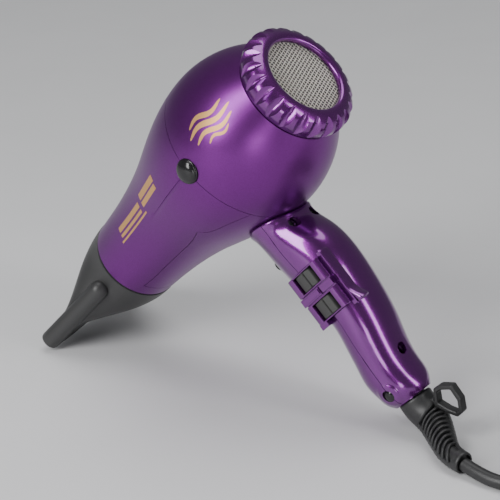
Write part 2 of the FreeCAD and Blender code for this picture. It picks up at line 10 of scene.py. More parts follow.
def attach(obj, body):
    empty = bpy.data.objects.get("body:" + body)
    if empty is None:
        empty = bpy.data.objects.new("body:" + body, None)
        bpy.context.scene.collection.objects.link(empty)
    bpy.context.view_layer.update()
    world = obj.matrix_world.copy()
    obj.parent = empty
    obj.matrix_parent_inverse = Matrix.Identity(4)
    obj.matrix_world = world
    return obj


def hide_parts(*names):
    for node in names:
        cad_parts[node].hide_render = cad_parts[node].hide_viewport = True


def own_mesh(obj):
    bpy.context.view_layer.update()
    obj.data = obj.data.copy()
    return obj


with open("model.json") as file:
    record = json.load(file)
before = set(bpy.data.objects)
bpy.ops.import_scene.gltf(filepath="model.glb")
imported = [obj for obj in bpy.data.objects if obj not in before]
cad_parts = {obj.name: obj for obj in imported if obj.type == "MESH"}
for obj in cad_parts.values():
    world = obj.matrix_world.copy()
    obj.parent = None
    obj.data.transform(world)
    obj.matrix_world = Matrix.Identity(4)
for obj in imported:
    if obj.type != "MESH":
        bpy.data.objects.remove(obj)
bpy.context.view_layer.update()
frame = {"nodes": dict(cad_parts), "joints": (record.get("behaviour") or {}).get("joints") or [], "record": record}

# A salon hair dryer lying on its nozzle lip and cord boot. Pieces are drawn in the dryer's own
# frame, in mm: the barrel's front end is centred on the origin, +X runs back to the filter and
# the handle hangs towards -Z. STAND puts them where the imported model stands, in metres.

JOINTS = {joint["name"]: joint for joint in frame["joints"]}
BARREL = Vector(JOINTS["nozzle_turn"]["axis"])
TILT = math.atan2(BARREL.z, BARREL.x)
TURN_POINT_X = -5.0
BARREL_FRONT = Vector(JOINTS["nozzle_turn"]["pos_m"]) - BARREL * TURN_POINT_X * 0.001
STAND = Matrix.Translation(BARREL_FRONT) @ Matrix.Rotation(-TILT, 4, "Y") @ Matrix.Scale(0.001, 4)
IN_ROW = Matrix.Scale(0.001, 4)
NOZZLE_TURN = math.radians(9.0)
TURN = 2 * math.pi
AXIS_X = Vector((1, 0, 0))
AXIS_Y = Vector((0, 1, 0))
AXIS_Z = Vector((0, 0, 1))


def link(item):
    """Put an object in the scene."""
    bpy.context.scene.collection.objects.link(item)
    return item


# ---- camera ----

def make_camera():
    """The photograph's viewing angle: a long lens, a little above and behind the left side."""
    azimuth = math.radians(38.54)
    elevation = math.radians(23.28)
    roll = math.radians(-2.6)
    aim = Matrix.Translation((-0.0385, 0.04, 0.0543))
    turn = Matrix.Rotation(azimuth, 4, "Z") @ Matrix.Rotation(math.pi / 2 - elevation, 4, "X")
    back_off = Matrix.Translation((0, 0, 0.85))
    data = bpy.data.cameras.new("camera")
    data.sensor_width = 36
    data.lens = 106.5
    data.clip_start = 0.01
    camera = link(bpy.data.objects.new("camera", data))
    camera.matrix_world = aim @ turn @ Matrix.Rotation(roll, 4, "Z") @ back_off
    bpy.context.scene.camera = camera


make_camera()


# ---- materials ----

def node_material(name):
    """A new material, its node tree and its shader."""
    material = bpy.data.materials.new(name)
    material.use_nodes = True
    tree = material.node_tree
    shader = tree.nodes["Principled BSDF"]
    return material, tree, shader


def texture(tree, kind, scale, **inputs):
    """A texture node that reads the piece's own coordinates, in metres."""
    place = tree.nodes.new("ShaderNodeTexCoord")
    node = tree.nodes.new("ShaderNodeTex" + kind)
    node.inputs["Scale"].default_value = scale
    for key, value in inputs.items():
        node.inputs[key].default_value = value
    tree.links.new(place.outputs["Object"], node.inputs["Vector"])
    return node


def blend_colours(tree, factor, dark, light, socket):
    """Mix two colours by a texture and feed a colour socket."""
    mix = tree.nodes.new("ShaderNodeMix")
    mix.data_type = "RGBA"
    mix.inputs["A"].default_value = (*dark, 1)
    mix.inputs["B"].default_value = (*light, 1)
    tree.links.new(factor, mix.inputs["Factor"])
    tree.links.new(mix.outputs["Result"], socket)


def vary(tree, factor, low, high, socket):
    """Map a texture from 0..1 to a range of numbers."""
    spread = tree.nodes.new("ShaderNodeMapRange")
    spread.inputs["To Min"].default_value = low
    spread.inputs["To Max"].default_value = high
    tree.links.new(factor, spread.inputs["Value"])
    tree.links.new(spread.outputs["Result"], socket)


def bump(tree, shader, height, distance, strength):
    """Raise the surface a little by a texture, to a depth in metres."""
    node = tree.nodes.new("ShaderNodeBump")
    node.inputs["Distance"].default_value = distance
    node.inputs["Strength"].default_value = strength
    tree.links.new(height, node.inputs["Height"])
    tree.links.new(node.outputs["Normal"], shader.inputs["Normal"])


def lacquer(name, dark, light, rough, coat, coat_rough, flake):
    """Metallic lacquer: fine flakes under a clear coat."""
    material, tree, shader = node_material(name)
    shader.inputs["Metallic"].default_value = 0.9
    shader.inputs["Coat Weight"].default_value = coat
    shader.inputs["Coat Roughness"].default_value = coat_rough
    flakes = texture(tree, "Voronoi", 4200.0)
    blend_colours(tree, flakes.outputs["Distance"], light, dark, shader.inputs["Base Color"])
    mottle = texture(tree, "Noise", 900.0, Detail=3.0)
    vary(tree, mottle.outputs["Fac"], rough * 0.9, rough * 1.1, shader.inputs["Roughness"])
    bump(tree, shader, flakes.outputs["Distance"], flake, 0.4)
    return material


def moulded(name, dark, light, rough, grain, depth, metallic=0.0):
    """Moulded plastic or rubber with a fine surface grain."""
    material, tree, shader = node_material(name)
    shader.inputs["Metallic"].default_value = metallic
    noise = texture(tree, "Noise", grain, Detail=6.0)
    blend_colours(tree, noise.outputs["Fac"], dark, light, shader.inputs["Base Color"])
    vary(tree, noise.outputs["Fac"], rough - 0.06, rough + 0.06, shader.inputs["Roughness"])
    bump(tree, shader, noise.outputs["Fac"], depth, 0.6)
    return material


SATIN = lacquer("satin_purple", (0.112, 0.0095, 0.148), (0.222, 0.029, 0.288), 0.34, 0.2, 0.35, 0.00001)
GLOSS = lacquer("gloss_purple", (0.126, 0.012, 0.164), (0.24, 0.035, 0.306), 0.24, 1.0, 0.03, 0.000004)
RING_PURPLE = lacquer("ring_purple", (0.126, 0.012, 0.164), (0.24, 0.035, 0.306), 0.26, 0.85, 0.07, 0.000003)
NOZZLE_BLACK = moulded("nozzle_black", (0.026, 0.026, 0.0265), (0.045, 0.045, 0.0455), 0.4, 3200.0, 0.00004)
MATTE_BLACK = moulded("matte_black", (0.012, 0.012, 0.013), (0.03, 0.03, 0.032), 0.52, 2600.0, 0.00003)
GLOSS_BLACK = moulded("gloss_black", (0.006, 0.006, 0.007), (0.014, 0.014, 0.015), 0.16, 1800.0, 0.000004)
RUBBER = moulded("black_rubber", (0.012, 0.012, 0.0125), (0.032, 0.032, 0.033), 0.42, 1400.0, 0.00008)
STEEL = moulded("steel", (0.5, 0.5, 0.51), (0.78, 0.78, 0.79), 0.28, 1500.0, 0.000006, 1.0)
DARK_STEEL = moulded("dark_steel", (0.05, 0.05, 0.052), (0.14, 0.14, 0.145), 0.3, 1500.0, 0.000006, 1.0)
NICKEL = moulded("nickel", (0.62, 0.6, 0.56), (0.8, 0.78, 0.74), 0.2, 1200.0, 0.000004, 1.0)
COPPER = moulded("copper_windings", (0.42, 0.16, 0.07), (0.7, 0.32, 0.16), 0.35, 2400.0, 0.00004, 1.0)
MICA = moulded("mica", (0.42, 0.36, 0.24), (0.66, 0.6, 0.46), 0.55, 700.0, 0.00005)
NYLON = moulded("grey_nylon", (0.07, 0.07, 0.075), (0.12, 0.12, 0.125), 0.5, 1800.0, 0.00003)
FOAM = moulded("foam", (0.002, 0.002, 0.002), (0.012, 0.012, 0.013), 0.95, 1500.0, 0.0004)
BRONZE = moulded("bronze", (0.38, 0.24, 0.1), (0.58, 0.4, 0.2), 0.4, 3000.0, 0.00003, 1.0)
GOLD = moulded("gold_print", (0.56, 0.28, 0.085), (0.74, 0.43, 0.165), 0.42, 2500.0, 0.000008, 0.6)
WIRE = moulded("wire_mesh", (0.8, 0.76, 0.7), (0.97, 0.94, 0.88), 0.34, 3000.0, 0.000005, 0.7)
ROCKER_BLACK = moulded("rocker_black", (0.03, 0.03, 0.029), (0.055, 0.055, 0.053), 0.38, 2600.0, 0.00002)
SLOT_MATERIALS = {
    "satin_purple": SATIN, "gloss_purple": GLOSS, "black_matte": MATTE_BLACK,
    "black_gloss": GLOSS_BLACK, "black_rubber": RUBBER, "steel": STEEL, "nickel": NICKEL,
    "copper_windings": COPPER, "mica": MICA, "grey_nylon": NYLON, "foam": FOAM, "bronze": BRONZE,
}


def dress_cad_nodes():
    """Give every carried-over CAD node the material of its slot."""
    for part in frame["record"]["subparts"]:
        node = frame["nodes"][part["node"]]
        node.data.materials.clear()
        node.data.materials.append(SLOT_MATERIALS[part["material_slot"]])


dress_cad_nodes()


# ---- shapes ----

def natural_spline(points):
    """A smooth function through (position, value) points."""
    xs, ys = np.array(sorted(points), float).T
    steps = np.diff(xs)
    slopes = np.diff(ys) / steps
    size = len(xs)
    matrix = np.eye(size)
    right = np.zeros(size)
    for i in range(1, size - 1):
        matrix[i, i - 1:i + 2] = steps[i - 1], 2 * (steps[i - 1] + steps[i]), steps[i]
        right[i] = 6 * (slopes[i] - slopes[i - 1])
    bends = np.linalg.solve(matrix, right)

    def value(x):
        i = min(max(int(np.searchsorted(xs, x)) - 1, 0), size - 2)
        a = (xs[i + 1] - x) / steps[i]
        b = (x - xs[i]) / steps[i]
        bend = (a ** 3 - a) * bends[i] + (b ** 3 - b) * bends[i + 1]
        return float(a * ys[i] + b * ys[i + 1] + bend * steps[i] ** 2 / 6)
    return value


def column_splines(table):
    """A smooth function of a table's first column for each of its other columns."""
    return [natural_spline([(row[0], row[k]) for row in table]) for k in range(1, len(table[0]))]


def smooth_step(low, high, value):
    """0 at low, 1 at high, eased at both; low may be the larger."""
    share = min(max((value - low) / (high - low), 0.0), 1.0)
    return share * share * (3 - 2 * share)


def spaced(start, end, count):
    """Evenly spaced numbers, both ends included."""
    return [start + (end - start) * i / (count - 1) for i in range(count)]


def grid_faces(rows, columns, wrap=False):
    """The four-sided faces of a grid of points; wrap joins its last column to its first."""
    faces = []
    for i in range(rows - 1):
        for j in range(columns if wrap else columns - 1):
            k = (j + 1) % columns
            row = i * columns
            faces.append((row + j, row + k, row + columns + k, row + columns + j))
    return faces


def closed_grid(rings):
    """A surface through rings of points, closed from its last ring back to its first."""
    count = len(rings[0])
    total = len(rings) * count
    faces = [tuple(i % total for i in face) for face in grid_faces(len(rings) + 1, count, True)]
    return [point for ring in rings for point in ring], faces


def capped_rings(rings):
    """A solid through rings of points, with flat ends."""
    count = len(rings[0])
    total = len(rings) * count
    faces = grid_faces(len(rings), count, True)
    faces += [tuple(reversed(range(count))), tuple(range(total - count, total))]
    return [point for ring in rings for point in ring], faces


def walled(outer, inner, faces):
    """A closed wall: chosen faces of one grid, the same faces of a grid within, and rims."""
    used = sorted({index for face in faces for index in face})
    number = {index: place for place, index in enumerate(used)}
    count = len(used)
    points = [outer[i] for i in used] + [inner[i] for i in used]
    result = []
    edges = set()
    for face in faces:
        ring = [number[i] for i in face]
        result.append(tuple(ring))
        result.append(tuple(i + count for i in reversed(ring)))
        edges.update(zip(ring, ring[1:] + ring[:1]))
    for a, b in edges:
        if (b, a) not in edges:
            result.append((b, a, a + count, b + count))
    return points, result


def round_angles(count):
    """Evenly spaced angles round a full turn."""
    return [TURN * j / count for j in range(count)]


def rounded(angle, power):
    """Cosine and sine on a circle, or on a square with round corners for a power above 2."""
    c = math.cos(angle)
    s = math.sin(angle)
    return math.copysign(abs(c) ** (2 / power), c), math.copysign(abs(s) ** (2 / power), s)


def ring_points(centre, across, up, radius, count, power=2.0, flat=1.0):
    """Points round a circle, or a rounded rectangle for a larger power."""
    points = []
    for angle in round_angles(count):
        c, s = rounded(angle, power)
        points.append(centre + across * (c * radius) + up * (s * radius * flat))
    return points


def turned(profile, centre, axis, count=48):
    """A solid of revolution through (distance along the axis, radius) points."""
    axis = Vector(axis).normalized()
    side = axis.orthogonal().normalized()
    up = axis.cross(side)
    rings = [ring_points(Vector(centre) + axis * along, side, up, max(radius, 0.01), count)
             for along, radius in profile]
    return capped_rings(rings)


def along_z(outline, low, high):
    """A solid from an (x, y) outline, between two heights."""
    return capped_rings([[Vector((x, y, z)) for x, y in outline] for z in (low, high)])


def block(x, y, z):
    """A box between pairs of limits."""
    return along_z([(x[0], y[0]), (x[1], y[0]), (x[1], y[1]), (x[0], y[1])], *z)


# ---- pieces ----

def make_object(name, shapes, place=STAND):
    """One mesh object from closed shapes, each a list of points in mm and its faces."""
    points = []
    faces = []
    for shape_points, shape_faces in shapes:
        start = len(points)
        points += [place @ Vector(point) for point in shape_points]
        faces += [tuple(start + i for i in face) for face in shape_faces]
    mesh = bpy.data.meshes.new(name)
    mesh.from_pydata(points, [], faces)
    sheet = bmesh.new()
    sheet.from_mesh(mesh)
    bmesh.ops.recalc_face_normals(sheet, faces=sheet.faces)
    sheet.to_mesh(mesh)
    sheet.free()
    return link(bpy.data.objects.new(name, mesh))


def carve(piece, cutters):
    """Cut closed shapes out of a piece."""
    for shape in cutters:
        tool = make_object(piece.name + "_cutter", [shape])
        step = piece.modifiers.new("cut", "BOOLEAN")
        step.operation = "DIFFERENCE"
        step.solver = "EXACT"
        step.object = tool
        bpy.context.view_layer.update()
        result = bpy.data.meshes.new_from_object(
            piece.evaluated_get(bpy.context.evaluated_depsgraph_get()))
        piece.modifiers.clear()
        piece.data = result
        piece.data.name = piece.name
        bpy.data.objects.remove(tool)


def make_piece(name, shapes, material, body="dryer", nodes=(), place=STAND, cutters=(),
               bevel=0.0, segments=2, crease=35.0):
    """One finished piece: cut, shaded, its edges rounded, and fixed to the body it rides on."""
    piece = make_object(name, shapes, place)
    carve(piece, cutters)
    mesh = piece.data
    mesh.materials.clear()
    mesh.materials.append(material)
    sheet = bmesh.new()
    sheet.from_mesh(mesh)
    limit = math.radians(crease)
    for face in sheet.faces:
        face.smooth = True
        face.material_index = 0
    for edge in sheet.edges:
        edge.smooth = bevel > 0 or edge.calc_face_angle(0) < limit
    sheet.to_mesh(mesh)
    sheet.free()
    if bevel > 0:
        step = piece.modifiers.new("edges", "BEVEL")
        step.width = bevel * 0.001
        step.segments = segments
        step.limit_method = "ANGLE"
        step.angle_limit = limit
        step.harden_normals = True
    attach(piece, body)
    if nodes:
        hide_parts(*nodes)
    return piece


# ---- cord ----

CORD_R = 0.0035
BOOT_END = (0.1402, -0.0246, 0.0052)
ROUTE = [BOOT_END, (0.1524, -0.0274, CORD_R), (0.1666, -0.0266, CORD_R), (0.184, -0.0212, CORD_R)]
COIL_CENTRE = Vector((0.2032, 0.0265, 0))
COIL_START = math.radians(-90)
POINTS_PER_TURN = 16
# each turn's radius in mm and its layer
TURNS = [(46, 0), (39, 0), (32, 0), (32, 1), (39, 1), (46, 1), (46, 2), (39, 2), (32, 2), (39, 3), (46, 3)]
TAIL = [
    (-0.0016, -0.0472, 0.0243), (0.013, -0.0485, 0.0234), (0.0277, -0.0443, 0.0214),
    (0.04, -0.0354, 0.0184), (0.0488, -0.0217, 0.0148), (0.053, -0.006, 0.011),
    (0.0524, 0.0102, 0.0072), (0.0473, 0.0252, 0.0044), (0.0375, 0.0388, CORD_R),
    (0.0245, 0.0481, CORD_R), (0.0095, 0.0555, 0.0055), (-0.006, 0.0585, 0.009),
    (-0.019, 0.059, 0.012)]


def coil_points():
    """Turn after turn; each eases to the next turn's radius and layer over its last stretch."""
    points = []
    spread = 1 / math.cos(math.pi / POINTS_PER_TURN)
    count = POINTS_PER_TURN * len(TURNS)
    ease_from = 0.75
    for index in range(count):
        turn, step = divmod(index, POINTS_PER_TURN)
        radius, layer = TURNS[turn]
        next_radius, next_layer = TURNS[min(turn + 1, len(TURNS) - 1)]
        share = smooth_step(ease_from, 1, step / POINTS_PER_TURN)
        radius += (next_radius - radius) * share
        height = (layer + (next_layer - layer) * share) * 2 * CORD_R + CORD_R
        angle = COIL_START + TURN * index / POINTS_PER_TURN
        out = radius * 0.001 * spread
        points.append(COIL_CENTRE + Vector((out * math.cos(angle), out * math.sin(angle), height)))
    return points


def make_cord():
    """The whole lead as one smooth curve: from the boot, round the coil and up to the plug."""
    points = [Vector(point) for point in ROUTE]
    points += coil_points()
    points += [COIL_CENTRE + Vector(point) for point in TAIL]
    curve = bpy.data.curves.new("cord", "CURVE")
    curve.dimensions = "3D"
    curve.bevel_depth = CORD_R
    curve.bevel_resolution = 5
    curve.resolution_u = 5
    curve.use_fill_caps = True
    spline = curve.splines.new("NURBS")
    spline.points.add(len(points) - 1)
    for target, point in zip(spline.points, points):
        target.co = (*point, 1)
    spline.order_u = 3
    spline.use_endpoint_u = True
    cord = link(bpy.data.objects.new("cord", curve))
    curve.materials.append(RUBBER)
    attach(cord, "dryer")
    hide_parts("cord_tube", "cord_coil", "cord_tail")
    plug = [bpy.data.objects["plug_moulded"]]
    plug += [frame["nodes"][name] for name in ("plug_pin_left", "plug_pin_right")]


PLUG_ENTRY = COIL_CENTRE * 1000 + Vector((-19.0, 59.0, 12.0))
# distance from the sleeve's end, half width and half height
PLUG_SECTIONS = [
    (13.5, 7.4, 7.0), (15, 8.6, 8.0), (20, 12.6, 10.3), (25, 15.0, 11.2), (30, 16.3, 11.7),
    (36, 17.1, 11.9), (42, 17.4, 11.95), (44.6, 17.3, 11.85), (45.6, 16.9, 11.4), (46, 16.2, 10.8)]


def make_plug():
    """Round-pin plug: a soft body with finger grooves, and a ringed sleeve for the lead."""
    width_of, height_of = column_splines(PLUG_SECTIONS)
    rings = []
    for along in spaced(13.5, 44.6, 64) + [45.3, 45.8, 46.0]:
        groove = 0.0
        if 21 < along < 36:
            groove = 0.7 * max(0.0, math.sin((along - 21) * TURN / 3.0)) ** 2
        centre = PLUG_ENTRY - AXIS_X * along
        width = width_of(along) - groove
        flat = (height_of(along) - groove * 0.3) / width
        rings.append(ring_points(centre, AXIS_Y, AXIS_Z, width, 64, 2.9, flat))
    sleeve = []
    for along in spaced(0, 15, 61):
        radius = 4.9 + 0.14 * along
        if 1.0 < along < 12.5:
            radius -= 0.8 * max(0.0, math.sin(along * TURN / 2.3)) ** 0.5
        sleeve.append(ring_points(PLUG_ENTRY - AXIS_X * along, AXIS_Y, AXIS_Z, radius, 40))
    make_piece("plug_moulded", [capped_rings(rings), capped_rings(sleeve)], RUBBER,
               nodes=["plug_body"], place=IN_ROW, crease=40)


def make_tie():
    """A flat strap round the coil's turns."""
    angle = math.radians(150)
    out = Vector((math.cos(angle), math.sin(angle), 0))
    along = Vector((-math.sin(angle), math.cos(angle), 0))
    middle = COIL_CENTRE * 1000 + out * 39.0 + Vector((0, 0, 14.15))
    rings = []
    for offset, width, height in ((-6.0, 11.25, 13.75), (-5.7, 11.6, 14.1), (5.7, 11.6, 14.1),
                                  (6.0, 11.25, 13.75), (5.9, 10.6, 13.2), (-5.9, 10.6, 13.2)):
        rings.append(ring_points(middle + along * offset, out, AXIS_Z, width, 72, 4.2, height / width))
    make_piece("coil_tie", [closed_grid(rings)], MATTE_BLACK, place=IN_ROW, crease=40)


make_plug()
make_tie()
make_cord()


# ---- barrel ----

BODY_RADIUS = natural_spline([
    (0, 26.0), (20, 27.5), (40, 30), (60, 34), (80, 39.5), (100, 44), (114, 45.5), (125, 45.3),
    (140, 42), (150, 37.5), (161.6, 29.8)])
WALL = 2.2
SEAM_X = 114.35
BODY_END_X = 161.6
LOWER_FRONT_X = 8.0
CORNER_X = 81.0
SEAM = 0.13
UNDER_COLUMNS = 15
CAP_X = SEAM_X
CAP_Z = -1.5
CAP_R = 6.6
GROOVE_ANGLE = math.radians(-2.0)
# Across the side groove, upwards: an easy lower wall and a steep upper one.
GROOVE = [(-1.3, 0.0), (-0.95, 0.12), (0.15, 0.62), (0.3, 0.55), (0.5, 0.0)]
BOTTOM = math.radians(-90)
PARTING_FRONT = natural_spline([
    (8, -19.4), (17.6, -20.4), (31.9, -21.1), (46.2, -22.0), (55.5, -22.7), (64.1, -23.5),
    (72.5, -23.85), (81, -23.5)])
PARTING_BACK = natural_spline([
    (81, -23.5), (84.4, -26.6), (89.6, -29.0), (95.5, -30.8), (100, -32.0), (114.35, -36.5)])


def on_barrel(x, angle, lift=0.0):
    """A point on the barrel; the angle runs from the left side over the top."""
    radius = BODY_RADIUS(x) + lift
    return Vector((x, -radius * math.cos(angle), radius * math.sin(angle)))


def parting_line(x):
    """Height of the lower parting line: two easy curves that meet in a corner."""
    return PARTING_FRONT(x) if x < CORNER_X else PARTING_BACK(x)


def barrel_row(x):
    """Angles round the barrel at x, and how deep each is let in; seams and grooves follow columns."""
    radius = BODY_RADIUS(x)
    near = min(max(x, LOWER_FRONT_X), SEAM_X)
    parting = math.acos(-parting_line(near) / BODY_RADIUS(near))
    gap = SEAM / radius
    left = BOTTOM + parting
    right = BOTTOM + TURN - parting
    taper = smooth_step(54, 84, x) * (1 - smooth_step(111, 112, x))
    groove_left = GROOVE_ANGLE
    groove_right = math.pi - GROOVE_ANGLE
    below = -GROOVE[0][0] / radius
    above = GROOVE[-1][0] / radius

    def plain(start, end, count):
        return [(angle, 0.0) for angle in spaced(start, end, count)]

    row = plain(BOTTOM, left - gap, UNDER_COLUMNS)
    row += plain(left + gap, groove_left - below, 17)[:-1]
    row += [(groove_left + offset / radius, depth * taper) for offset, depth in GROOVE]
    row += plain(groove_left + above, groove_right - above, 61)[1:-1]
    row += [(groove_right - offset / radius, depth * taper) for offset, depth in reversed(GROOVE)]
    row += plain(groove_right + below, right - gap, 17)[1:]
    return row + plain(right + gap, BOTTOM + TURN, UNDER_COLUMNS)[:-1]


def barrel_grid():
    """The barrel's stations, and the points of its outside and inside walls."""
    front = spaced(0, LOWER_FRONT_X - SEAM, 7)
    middle = spaced(LOWER_FRONT_X + SEAM, CORNER_X, 49) + spaced(CORNER_X, SEAM_X - SEAM, 25)[1:]
    rear = spaced(SEAM_X + SEAM, BODY_END_X, 36)
    stations = front + middle + rear
    outer = []
    inner = []
    for x in stations:
        for angle, depth in barrel_row(x):
            outer.append(on_barrel(x, angle, -depth))
            inner.append(on_barrel(x, angle, -WALL))
    return stations, outer, inner


def make_barrel():
    """The three shells, with narrow gaps between them, cap seats and a hole into the handle."""
    stations, outer, inner = barrel_grid()
    columns = len(outer) // len(stations)
    left_gap = UNDER_COLUMNS - 1
    right_gap = columns - UNDER_COLUMNS
    front = []
    under = []
    rear = []
    for index, face in enumerate(grid_faces(len(stations), columns, True)):
        i, k = divmod(index, columns)
        x = stations[i]
        following = stations[i + 1]
        lower = k < left_gap or k > right_gap
        if x > SEAM_X:
            rear.append(face)
        elif following > SEAM_X:
            continue
        elif following < LOWER_FRONT_X:
            front.append(face)
        elif lower and x > LOWER_FRONT_X:
            under.append(face)
        elif left_gap < k < right_gap:
            front.append(face)
    seats = [turned([(-7, CAP_R + 0.15), (7, CAP_R + 0.15)], (CAP_X, side * 46, CAP_Z), AXIS_Y, 64)
             for side in (-1, 1)]
    hole = [turned([(-10, 8), (10, 8)], (101, 0, -44), AXIS_Z, 32)]
    for name, faces, cutters in (("front_shell", front, seats), ("barrel_lower", under, hole),
                                 ("rear_shell", rear, seats)):
        make_piece(name + "_skin", [walled(outer, inner, faces)], SATIN,
                   nodes=[name], cutters=cutters, bevel=0.2, crease=50)


def make_side_caps():
    """Glossy domed buttons over the shell seam."""
    profile = [(0, 0), (0, CAP_R), (2.6, CAP_R), (2.85, CAP_R - 0.12), (2.95, CAP_R - 0.4)]
    profile += [(2.95 + 2.6 * math.sin(a), (CAP_R - 0.4) * math.cos(a))
                for a in spaced(0.08, math.pi / 2 - 0.01, 18)]
    for name, side in (("left", -1), ("right", 1)):
        dome = turned(profile, (CAP_X, side * 43.3, CAP_Z), (0, side, 0), 64)
        make_piece("side_cap_%s_dome" % name, [dome], GLOSS_BLACK,
                   nodes=["side_cap_" + name], crease=60)


# ---- printed marks: plain stripes and bars ----

PRINT_LIFT = 0.06
PRINT_DEPTH = 0.12


def printed_band(centre, half_width, count=40):
    """A thin band on the barrel along centre(share) = (x, arc), of half_width(share)."""
    outer = []
    inner = []
    across = 5
    for i in range(count):
        share = i / (count - 1)
        x, arc = centre(share)
        x2, arc2 = centre(share + 0.01)
        along = Vector((x2 - x, arc2 - arc)).normalized()
        for j in range(across):
            offset = half_width(share) * (2 * j / (across - 1) - 1)
            px = x - along.y * offset
            pa = (arc + along.x * offset) / BODY_RADIUS(px)
            outer.append(on_barrel(px, pa, PRINT_LIFT))
            inner.append(on_barrel(px, pa, -PRINT_DEPTH))
    return walled(outer, inner, grid_faces(count, across))


def wind_stripe(x0, x1, arc, swell, width):
    """A stripe that rises in one easy wave and narrows to its tips."""
    def centre(share):
        return (x0 + (x1 - x0) * share, arc + swell * math.sin(2.4 * math.pi * share - 0.6))

    def half_width(share):
        return 0.12 + width * math.sin(math.pi * min(max(share, 0.0), 1.0)) ** 0.55
    return printed_band(centre, half_width, 60)


def plain_bar(x0, x1, arc, width):
    """A straight bar along the barrel."""
    return printed_band(lambda share: (x0 + (x1 - x0) * share, arc), lambda share: width, 24)


def make_prints():
    """Four wavy stripes on the rear shell and five bars on the front one."""
    stripes = ((130, 151, 13.6, 1.5, 1.25), (127.5, 154, 9.0, 1.6, 1.35),
               (130, 153, 4.4, 1.5, 1.15), (136, 149, 0.6, 1.1, 0.7))
    bars = ((28, 58, 10.4, 1.6), (62, 85, 12.6, 1.9), (28, 58, 6.5, 0.9), (62, 84, 8.0, 1.5),
            (26, 62, 3.6, 0.55))
    make_piece("wind_emblem", [wind_stripe(*stripe) for stripe in stripes], GOLD)
    make_piece("side_bars", [plain_bar(*bar) for bar in bars], GOLD)


# ---- filter cap ----

FLUTES = 24
POCKET_DEPTH = 2.1
RING_OUTER = [
    (162.0, 29.0), (162.05, 29.6), (162.5, 30.0), (163.3, 30.45), (164.6, 31.0), (166.4, 31.5),
    (168.4, 31.75), (170.4, 31.5), (172.2, 30.7), (173.8, 29.3), (175.0, 27.5), (175.8, 25.6),
    (176.15, 23.8), (176.0, 22.5), (175.5, 21.6), (174.8, 21.2), (172.9, 21.2)]
RING_INNER = [(172.9, 28.4), (162.0, 28.4)]
POCKET_START = 0.07
POCKET_END = 0.7


def ring_meridian(count):
    """Evenly spaced stations over the ring's rounded outside, each with its outward direction."""
    lengths = [0.0]
    for a, b in zip(RING_OUTER, RING_OUTER[1:]):
        lengths.append(lengths[-1] + math.dist(a, b))
    x_of, r_of = column_splines([(length, x, r) for length, (x, r) in zip(lengths, RING_OUTER)])
    stations = []
    step = 0.05
    for share in spaced(0, 1, count):
        along = share * lengths[-1]
        dx = x_of(along + step) - x_of(along - step)
        dr = r_of(along + step) - r_of(along - step)
        size = math.hypot(dx, dr)
        stations.append((share, x_of(along), r_of(along), -dr / size, dx / size))
    return stations


def make_ring():
    """The filter cap: leaf-shaped scoops pressed into a rounded ring."""
    pitch = TURN / FLUTES
    inside = 12
    between = 5
    rows = []
    for share, x, radius, out_x, out_r in ring_meridian(84):
        leaf = (share - POCKET_START) / (POCKET_END - POCKET_START)
        swell = math.sin(math.pi * leaf ** 1.2) if 0 < leaf < 1 else 0.0
        half = 0.3 + 2.75 * swell ** 0.85
        depth = POCKET_DEPTH * swell ** 0.9
        row = []
        for flute in range(FLUTES):
            middle = flute * pitch
            for j in range(inside + 1):
                u = 2 * j / inside - 1
                dent = depth * (1 - abs(u) ** 1.6)
                angle = middle + u * half / radius
                row.append((x - out_x * dent, radius - out_r * dent, angle))
            land = spaced(middle + half / radius, middle + pitch - half / radius, between + 1)
            row += [(x, radius, angle) for angle in land[1:-1]]
        rows.append(row)
    for x, radius in RING_INNER:
        rows.append([(x, radius, angle) for _, _, angle in rows[0]])
    rings = [[Vector((x, r * math.cos(a), r * math.sin(a))) for x, r, a in row] for row in rows]
    make_piece("filter_cap_fluted", [closed_grid(rings)], RING_PURPLE,
               body="filter_cap", nodes=["filter_ring"], crease=24)


def make_wire_mesh():
    """Plain-woven steel wire behind the ring, its rows a little turned."""
    pitch = 1.85
    wire = 0.23
    reach = 24.0
    middle_x = 172.0
    turn = Matrix.Rotation(math.radians(22), 3, "X")
    shapes = []
    count = int(reach / pitch)
    for crosswise in (False, True):
        for k in range(-count, count + 1):
            offset = k * pitch
            half = math.sqrt(reach ** 2 - offset ** 2)
            steps = int(half / (pitch / 4))
            if steps < 2:
                continue
            sign = (-1) ** k * (-1 if crosswise else 1)
            rings = []
            for m in range(-steps, steps + 1):
                along = m * pitch / 4
                x = middle_x + sign * wire * 0.8 * math.cos(math.pi * along / pitch)
                place = Vector((x, along, offset)) if crosswise else Vector((x, offset, along))
                side = AXIS_Z if crosswise else AXIS_Y
                rings.append(ring_points(turn @ place, turn @ side, AXIS_X, wire, 8))
            shapes.append(capped_rings(rings))
    make_piece("filter_mesh_woven", shapes, WIRE, body="filter_cap",
               nodes=["filter_mesh"], crease=80)


# ---- nozzle ----

# x, half width, half height and how square the section is
NOZZLE_SECTIONS = [
    (-0.4, 26.2, 26.2, 2.0), (-10, 26.8, 25.4, 2.0), (-22, 30.3, 21.4, 2.2), (-32, 33.7, 15.4, 2.4),
    (-42, 36.8, 8.8, 3.0), (-52, 39.3, 6.4, 3.8), (-64, 41.5, 5.9, 4.5)]
NOZZLE_WIDTH, NOZZLE_HEIGHT, NOZZLE_POWER = column_splines(NOZZLE_SECTIONS)
NOZZLE_WALL = 1.7
LIP_X = -64.0
MOUTH_HALF = 4.3
LOBE_R = 5.6
COLLAR_R = 23.7
PANEL_DEPTH = 0.55


